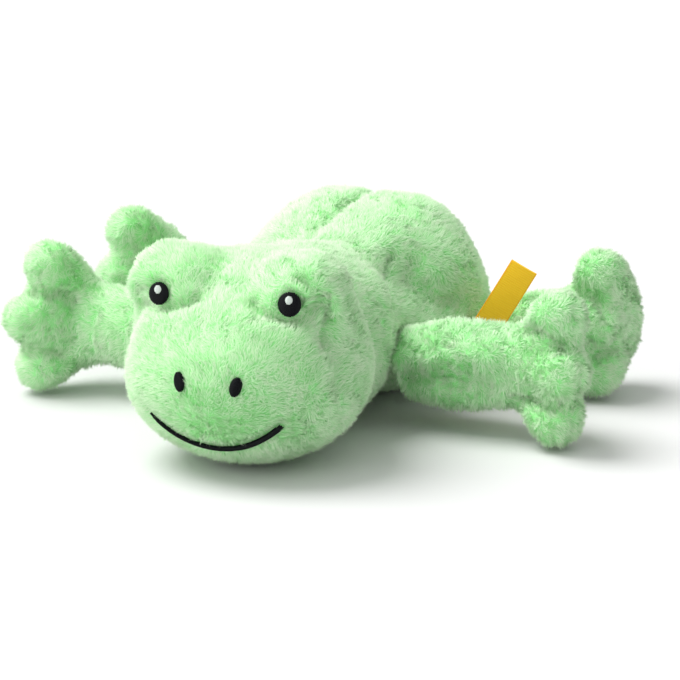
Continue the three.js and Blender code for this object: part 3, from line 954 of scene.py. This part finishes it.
selvedge = add_node(ribbon_finish, "ShaderNodeMapRange", links=[("Value", edge, 0)])
selvedge.inputs["From Max"].default_value = SELVEDGE_WIDE / label_wide
yarn = add_node(
    ribbon_finish,
    "ShaderNodeTexNoise",
    links=[("Vector", chart, "UV")],
    Scale=YARNS_ACROSS,
    Detail=2,
)
relief = add_node(
    ribbon_finish, "ShaderNodeMath", links=[(0, ribs, "Fac"), (1, yarn, "Fac")], operation="ADD"
)
tone = add_node(ribbon_finish, "ShaderNodeMapRange", links=[("Value", relief, 0)])
tone.inputs["From Max"].default_value = 2
woven = add_node(
    ribbon_finish, "ShaderNodeMix", links=[("Factor", tone, "Result")], data_type="RGBA"
)
# Painted shade between the ribs and a painted sheen on them.
painted_shade_between_ribs, painted_sheen_on_ribs = [socket for socket in woven.inputs if socket.type == "RGBA"]
painted_shade_between_ribs.default_value = linear("FFBF16")
painted_sheen_on_ribs.default_value = linear("FFD034")
edged = add_node(
    ribbon_finish, "ShaderNodeMix", links=[("Factor", selvedge, "Result")], data_type="RGBA"
)
rim, field = [socket for socket in edged.inputs if socket.type == "RGBA"]
rim.default_value = linear("F0AC10")
woven_out, edged_out = [
    next(socket for socket in mix.outputs if socket.type == "RGBA") for mix in (woven, edged)
]
ribbon_finish.node_tree.links.new(woven_out, field)
ribbon_finish.node_tree.links.new(edged_out, ribbon_shader.inputs["Base Color"])
bump = add_node(ribbon_finish, "ShaderNodeBump", links=[("Height", relief, 0)], Distance=RIB_RELIEF)
ribbon_finish.node_tree.links.new(bump.outputs["Normal"], ribbon_shader.inputs["Normal"])
label.data.materials.clear()
label.data.materials.append(ribbon_finish)
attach(label, "torso")
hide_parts("flank_label")

# Studio. The frog lies on a pale table before a white backdrop, under one broad lamp from above on
# its right and a weak one from the front. The backdrop shows white and lights less than it shows.
TABLE_SIZE = 8
TABLE_GAP = 0.2 * MM
BACKDROP_LIGHT = 0.62
bpy.ops.mesh.primitive_plane_add(size=TABLE_SIZE, location=(0, 0, -TABLE_GAP))
table = bpy.context.object
table.name = "table"


def seen_directly(owner):
    """1 for rays that show the backdrop, straight or in gloss or glass, and 0 for those that light
    the frog by it."""
    path = add_node(owner, "ShaderNodeLightPath")
    direct = add_node(
        owner,
        "ShaderNodeMath",
        links=[(0, path, "Is Camera Ray"), (1, path, "Is Glossy Ray")],
        operation="ADD",
        use_clamp=True,
    )
    return add_node(
        owner,
        "ShaderNodeMath",
        links=[(0, direct, "Value"), (1, path, "Is Transmission Ray")],
        operation="ADD",
        use_clamp=True,
    )


# Matt laminate, so pale that the lamps bring it up to white and leave soft shadows.
pale, _ = new_finish("pale_table", Roughness=0.9, Base_Color=linear("D7D7D7"))
table.data.materials.append(pale)
table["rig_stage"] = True

world = bpy.data.worlds.new("studio")
scene.world = world
world.use_nodes = True
sky = world.node_tree.nodes["Background"]
sky.inputs["Color"].default_value = linear("FFFFFF")
level = add_node(world, "ShaderNodeMapRange", links=[("Value", seen_directly(world), "Value")])
level.inputs["To Min"].default_value = BACKDROP_LIGHT
world.node_tree.links.new(level.outputs["Result"], sky.inputs["Strength"])

lamps = [("key", 3.1, 40, (0.55, 0.08, -1)), ("front_fill", 1.1, 60, (0.5, 0.85, -0.35))]
for name, energy, angle, way in lamps:
    bpy.ops.object.light_add(type="SUN", location=(0, 0, 1))
    lamp = bpy.context.object
    lamp.name = name
    lamp.data.energy = energy
    lamp.data.angle = math.radians(angle)
    lamp.rotation_euler = Vector(way).to_track_quat("-Z", "Y").to_euler()

scene.view_settings.view_transform = "Standard"

size = {"cad": [list(v) for v in cad_box], "visual": [list(v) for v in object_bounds()]}
